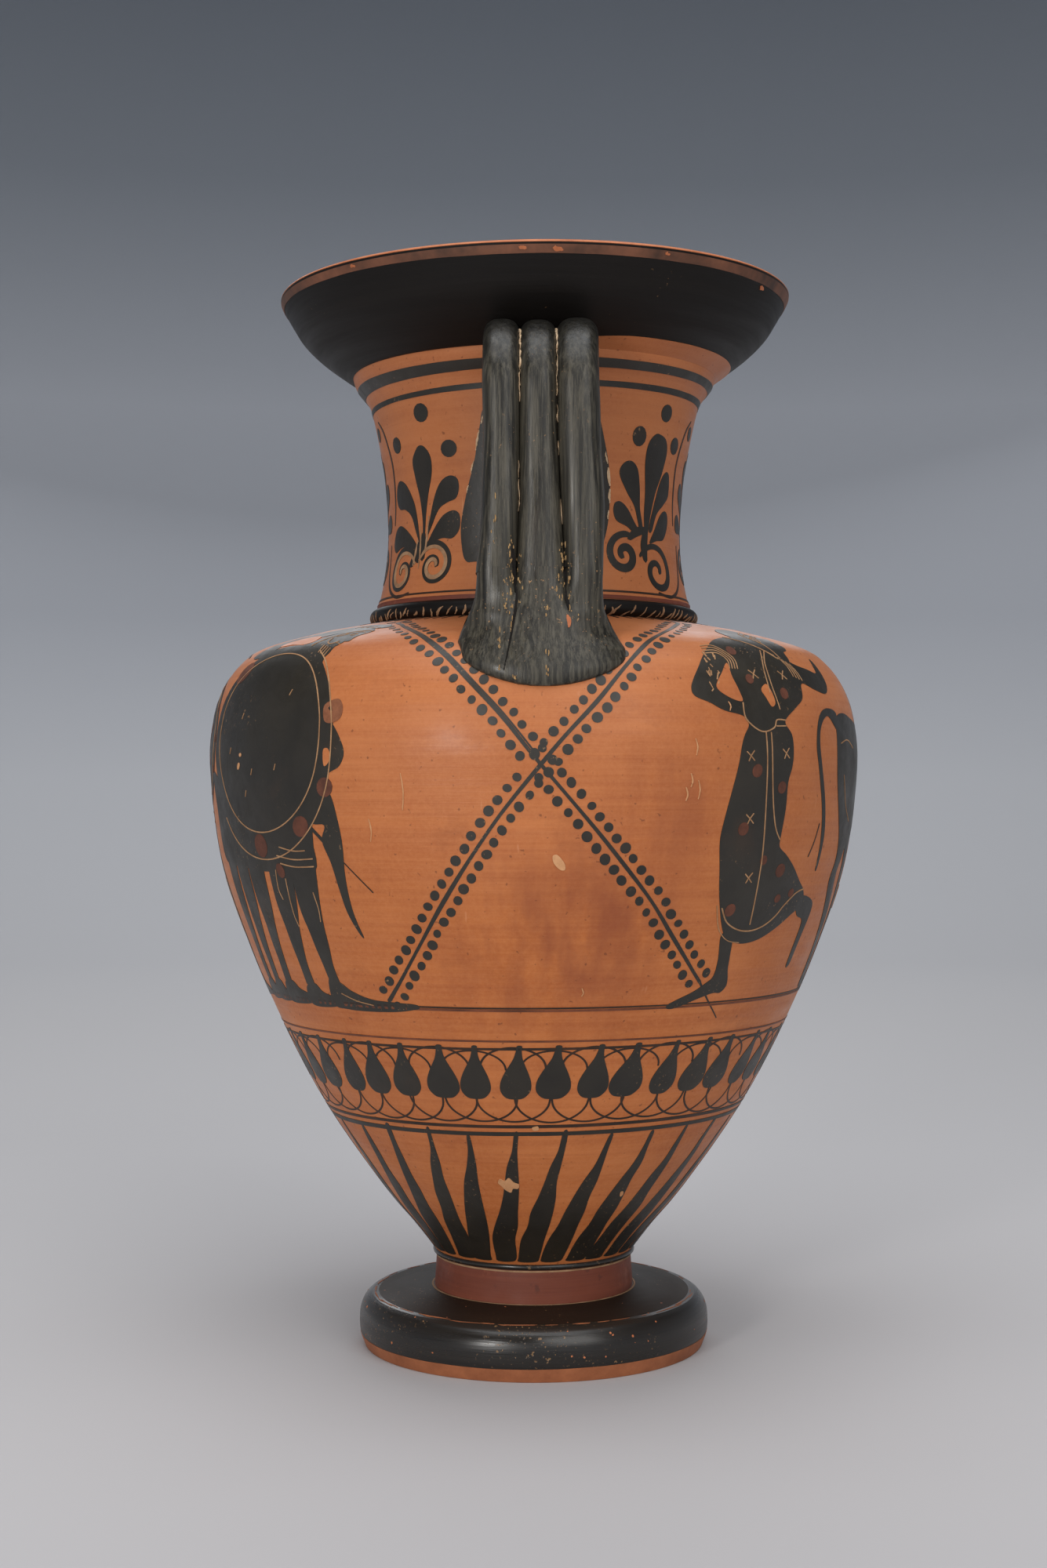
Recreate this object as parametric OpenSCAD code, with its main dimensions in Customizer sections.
// Two-handled neck amphora in fired clay, standing on a disc foot.
// Millimetres, +Z up. The origin is the centre of the ring that the foot rests on.
// The handles stand at the front (-Y) and the back (+Y).

/* [Foot] */
// Greatest radius of the foot disc
foot_r = 43.5; // [42.5:0.1:46]
// Height of the ridge where the side of the disc turns into its top
disc_ridge_z = 12.6; // [11:0.1:13.2]
// Height at which the stem leaves the disc
stem_base_z = 14.1; // [13.2:0.1:16]
// Radius of the stem where it leaves the disc
stem_r = 24.8; // [24:0.1:27]

/* [Body] */
// Greatest radius of the body
body_r = 80.1; // [76:0.1:85]
// Height of the joint between the stem and the body
body_base_z = 22.8; // [21:0.1:25]
// Height of the flat ledge on the shoulder that carries the neck
body_top_z = 178.3; // [175:0.1:182]
// Thickness of the body's wall
body_wall = 4.8; // [3.5:0.1:6]

/* [Neck] */
// Radius of the neck where it is narrowest
neck_r = 36.4; // [35:0.1:38]
// Height of the joint between the neck and the mouth
neck_top_z = 240.5; // [236:0.5:244]
// Thickness of the neck's wall
neck_wall = 4.4; // [3.5:0.1:5.5]
// Radius of the neck ring at its widest
ring_r = 41; // [40.5:0.1:42]

/* [Mouth] */
// Radius of the mouth at the rim
mouth_r = 63.3; // [60:0.1:66]
// Height of the whole amphora
rim_z = 260; // [256:0.5:266]
// Width of the flat top of the lip
lip_w = 3.6; // [3:0.1:4.5]

/* [Handles] */
// Distance between the middles of two neighbouring coils of a handle
coil_pitch = 8.6; // [8.2:0.1:9.4]
// Radius of one coil
coil_r = 4.7; // [4.4:0.1:5]
// Distance from the axis to the coil's middle, where the handle turns downwards
handle_reach = 67.3; // [66:0.1:69]
// Radius of the bend at the top of the handle
bend_r = 14; // [12:0.5:16]

/* [Hidden] */
$fn = 96;

SLIP = "#1d1c18";
CLAY = "#b8673f";
RED = "#6d2f25";

// Steps between two outline points of a smooth curve
CURVE_STEPS = 3;

// Foot: joints between disc, stem and body
disc_inner_rest_r = 34;
disc_slope_r = 30;
disc_slope_z = 3;
disc_hollow_z = 6;
tenon_r = 22;
tenon_z = 8;
hollow_r = 14;
hollow_top_r = 9;
stem_top_r = 24.2;
boss_r = 17;
boss_depth = 2.5;
floor_z = body_base_z + 7.5;
floor_edge_rise = 1;
fillet_r = 0.9;
fillet_mid = [stem_top_r + 0.1, body_base_z + 0.3];

// Body and neck: the neck's lower lip sits in the opening of the shoulder
opening_r = 35.6;
ledge_r = 41.4;
neck_foot_r = 39;
neck_lip_depth = 6;
neck_bore_rise = 5;
neck_bore_drop = 2;
ring_half_h = 2.1;

// Handle: the bend's middle, how far it turns, and where the coils meet their roots
bend_mid_r = handle_reach - bend_r;
bend_mid_z = 225.3;
bend_start = 140;
lean = 3;
neck_root_r = 47;
neck_root_z = 237.5;
shoulder_root_z = 179;

// Thin plates that the hulls of the roots start from, and how much wider than the coils they are
plate = 0.4;
neck_root_drop = 5;
neck_root_swell = [0.7, 1.5];
root_spread = 1;

// Shoulder root: its waist below the coils, and the arc of balls that rounds its edge
waist_drop = 5.5;
waist_out = 0.4;
waist_swell = 0.3;
root_half_w = 12.8;
root_edge_mid = [69.2, 167.6];
root_edge_reach = [5.8, 3.6];
root_ball_r = 5.8;
root_ball_taper = 1.4;

// Outlines as [share of the radius, share of the height], from the bottom up
BODY_SHAPE = [[0.301, 0], [0.369, 0.046], [0.473, 0.111], [0.644, 0.239], [0.776, 0.368],
    [0.882, 0.496], [0.965, 0.625], [1, 0.767], [0.992, 0.844], [0.963, 0.895],
    [0.912, 0.934], [0.84, 0.96], [0.671, 0.985]];
NECK_SHAPE = [[1.072, 0.085], [1.049, 0.124], [1.011, 0.25], [1, 0.39], [1.022, 0.575],
    [1.058, 0.703], [1.104, 0.831], [1.14, 0.896], [1.22, 0.958], [1.247, 1]];
MOUTH_SHAPE = [[0.73, 0], [0.765, 0.077], [0.85, 0.282], [0.915, 0.487], [0.956, 0.692],
    [0.992, 0.897]];
MOUTH_INNER_SHAPE = [[0.648, 0], [0.7, 0.11], [0.79, 0.32], [0.862, 0.55], [0.91, 0.8]];
DISC_SIDE = [[0.966, 0], [0.993, 0.24], [1, 0.45], [0.995, 0.67], [0.98, 0.82], [0.957, 0.93],
    [0.926, 1]];

// One point of a smooth curve through p1 and p2, with neighbours p0 and p3
function curve_point(p0, p1, p2, p3, t) =
    0.5 * (2 * p1 + (p2 - p0) * t + (2 * p0 - 5 * p1 + 4 * p2 - p3) * t * t
        + (3 * p1 - p0 - 3 * p2 + p3) * t * t * t);

// A smooth curve through all the points
function smooth(p) = let (last = len(p) - 1) [
    for (i = [0:last - 1], k = [0:CURVE_STEPS - 1])
        curve_point(p[max(i - 1, 0)], p[i], p[i + 1], p[min(i + 2, last)], k / CURVE_STEPS),
    p[last]];

// Shares turned into real radii and heights
function sized(shape, radius, low, high) =
    [for (s = shape) [s[0] * radius, low + s[1] * (high - low)]];

// The curve moved inwards by the thickness of the wall
function inset(p, wall) = let (last = len(p) - 1) [
    for (i = [0:last]) let (
        along = p[min(i + 1, last)] - p[max(i - 1, 0)],
        unit = along / norm(along)) p[i] + wall * [-unit[1], unit[0]]];

function reversed(p) = [for (i = [len(p) - 1:-1:0]) p[i]];

body_side = concat(smooth(sized(BODY_SHAPE, body_r, body_base_z, body_top_z)),
    [[ledge_r, body_top_z]]);
neck_side = concat([[neck_foot_r, body_top_z]],
    smooth(sized(NECK_SHAPE, neck_r, body_top_z, neck_top_z)));
mouth_side = concat(smooth(sized(MOUTH_SHAPE, mouth_r, neck_top_z, rim_z)),
    [[mouth_r, rim_z - 0.6], [mouth_r - 0.6, rim_z]]);
mouth_inside = concat(smooth(sized(MOUTH_INNER_SHAPE, mouth_r, neck_top_z, rim_z)),
    [[mouth_r - lip_w, rim_z]]);
disc_side = smooth(sized(DISC_SIDE, foot_r, 0, disc_ridge_z));

// Solid cores bounded by the outer surfaces, used to trim what is joined on
module core(side, low, high) {
    rotate_extrude() polygon(concat([[0, low]], side, [[0, high]]));
}
module body_core() {
    core(body_side, body_base_z, body_top_z);
}
module neck_core() {
    core(neck_side, body_top_z, neck_top_z);
}
module mouth_core() {
    core(mouth_side, neck_top_z, rim_z);
}

module foot_disc() {
    color(SLIP) rotate_extrude() polygon(concat(disc_side, [
        [stem_r, stem_base_z], [tenon_r, stem_base_z], [tenon_r, tenon_z],
        [hollow_r, tenon_z], [hollow_r, disc_hollow_z], [disc_slope_r, disc_slope_z],
        [disc_inner_rest_r, 0]]));
}

module foot_stem() {
    boss_z = body_base_z - boss_depth;
    color(RED) rotate_extrude() polygon([
        [stem_r, stem_base_z], [stem_top_r, body_base_z], [boss_r, body_base_z],
        [boss_r, boss_z], [hollow_top_r, boss_z], [hollow_r, tenon_z],
        [tenon_r, tenon_z], [tenon_r, stem_base_z]]);
}

// Thin ring of clay that covers the joint between stem and body
module foot_fillet() {
    color(SLIP) difference() {
        rotate_extrude() translate(fillet_mid) circle(fillet_r);
        body_core();
        translate([0, 0, body_base_z - 2 * fillet_r])
            cylinder(r = stem_top_r, h = 2 * fillet_r);
    }
}

module body() {
    mid_z = (body_base_z + body_top_z) / 2;
    inner = [for (p = inset(body_side, body_wall))
        if (p[1] > floor_z + floor_edge_rise && p[1] < body_top_z - body_wall
            && (p[1] < mid_z || p[0] > opening_r)) p];
    color(CLAY) rotate_extrude() polygon(concat(
        [[0, body_base_z - boss_depth], [boss_r, body_base_z - boss_depth],
            [boss_r, body_base_z]],
        body_side,
        [[opening_r, body_top_z], [opening_r, body_top_z - body_wall]],
        reversed(inner),
        [[0, floor_z]]));
}

module neck() {
    lip_z = body_top_z - neck_lip_depth;
    inner = [for (p = inset(neck_side, neck_wall))
        if (p[1] > body_top_z + neck_bore_rise && p[1] < neck_top_z - neck_bore_drop) p];
    color(CLAY) rotate_extrude() polygon(concat(
        [[opening_r - neck_wall, lip_z], [opening_r, lip_z], [opening_r, body_top_z]],
        neck_side,
        [[mouth_inside[0][0], neck_top_z]],
        reversed(inner)));
}

// Half-round coil of clay round the foot of the neck
module neck_ring() {
    reach = ring_r - neck_foot_r;
    color(SLIP) translate([0, 0, body_top_z]) rotate_extrude() intersection() {
        translate([neck_foot_r, ring_half_h]) circle(r = reach);
        translate([neck_foot_r, 0]) square([reach, 2 * ring_half_h]);
    }
}

module mouth() {
    color(SLIP) rotate_extrude() polygon(concat(mouth_side, reversed(mouth_inside)));
}

// The plane of a handle: x is the distance from the axis, y the height
module handle_plane() {
    rotate([90, 0, -90]) children();
}

// Section of one coil, flat where it is pressed against its neighbours
module coil_section(side) {
    cut_left = side > -1 ? coil_pitch / 2 : coil_r;
    cut_right = side < 1 ? coil_pitch / 2 : coil_r;
    intersection() {
        circle(coil_r);
        translate([-coil_r, -cut_right]) square([2 * coil_r, cut_left + cut_right]);
    }
}

// One coil of a handle: side is -1 for the left one, 0 for the centre, 1 for the right
module coil(side) {
    color(SLIP) difference() {
        handle_plane() translate([bend_mid_r, bend_mid_z, -side * coil_pitch])
            rotate([0, 0, lean]) {
                rotate_extrude(angle = bend_start - lean)
                    translate([bend_r, 0]) coil_section(side);
                translate([bend_r, 0]) rotate([90, 0, 0])
                    linear_extrude(bend_mid_z - shoulder_root_z + coil_r)
                        coil_section(side);
            }
        translate([-body_r, -2 * body_r, shoulder_root_z - 2 * coil_pitch])
            cube([2 * body_r, 2 * body_r, 2 * coil_pitch]);
        translate([-body_r, -neck_root_r, shoulder_root_z])
            cube([2 * body_r, neck_root_r, rim_z - shoulder_root_z]);
        mouth_core();
    }
}

// Clay smoothed round the coils where they meet the neck under the mouth
module neck_root() {
    color(SLIP) difference() {
        hull() for (side = [-1, 1]) {
            translate([side * coil_pitch, -neck_root_r, neck_root_z])
                rotate([-90, 0, 0]) cylinder(r = coil_r + neck_root_swell[0], h = plate, $fn = 32);
            translate([side * (coil_pitch + root_spread), -neck_r, neck_root_z - neck_root_drop])
                rotate([-90, 0, 0]) cylinder(r = coil_r + neck_root_swell[1], h = plate, $fn = 32);
        }
        neck_core();
        mouth_core();
    }
}

// The two outer ends of the root's waist, just below the coils
module root_waist(top_r) {
    for (side = [-1, 1])
        translate([side * (coil_pitch + root_spread), -top_r - waist_out, shoulder_root_z - waist_drop])
            cylinder(r = coil_r + waist_swell, h = plate, $fn = 32);
}

// Clay that spreads the ends of the coils over the shoulder
module shoulder_root() {
    top_r = handle_reach + (bend_mid_z - shoulder_root_z) * tan(lean);
    color(SLIP) difference() {
        union() {
            hull() {
                for (side = [-1, 1])
                    translate([side * coil_pitch, -top_r, shoulder_root_z - plate])
                        cylinder(r = coil_r, h = plate, $fn = 32);
                root_waist(top_r);
            }
            hull() {
                root_waist(top_r);
                for (turn = [0:30:180])
                    translate([root_half_w * cos(turn), -root_edge_mid[0] - root_edge_reach[0] * sin(turn),
                        root_edge_mid[1] - root_edge_reach[1] * sin(turn)])
                        sphere(r = root_ball_r - root_ball_taper * sin(turn), $fn = 24);
            }
        }
        body_core();
    }
}

module behind() {
    rotate([0, 0, 180]) children();
}

module handle_front_coil_left() {
    coil(-1);
}
module handle_front_coil_centre() {
    coil(0);
}
module handle_front_coil_right() {
    coil(1);
}
module handle_front_neck_root() {
    neck_root();
}
module handle_front_shoulder_root() {
    shoulder_root();
}
module handle_back_coil_left() {
    behind() coil(-1);
}
module handle_back_coil_centre() {
    behind() coil(0);
}
module handle_back_coil_right() {
    behind() coil(1);
}
module handle_back_neck_root() {
    behind() neck_root();
}
module handle_back_shoulder_root() {
    behind() shoulder_root();
}

foot_disc();
foot_stem();
foot_fillet();
body();
neck();
neck_ring();
mouth();
handle_front_coil_left();
handle_front_coil_centre();
handle_front_coil_right();
handle_front_neck_root();
handle_front_shoulder_root();
handle_back_coil_left();
handle_back_coil_centre();
handle_back_coil_right();
handle_back_neck_root();
handle_back_shoulder_root();
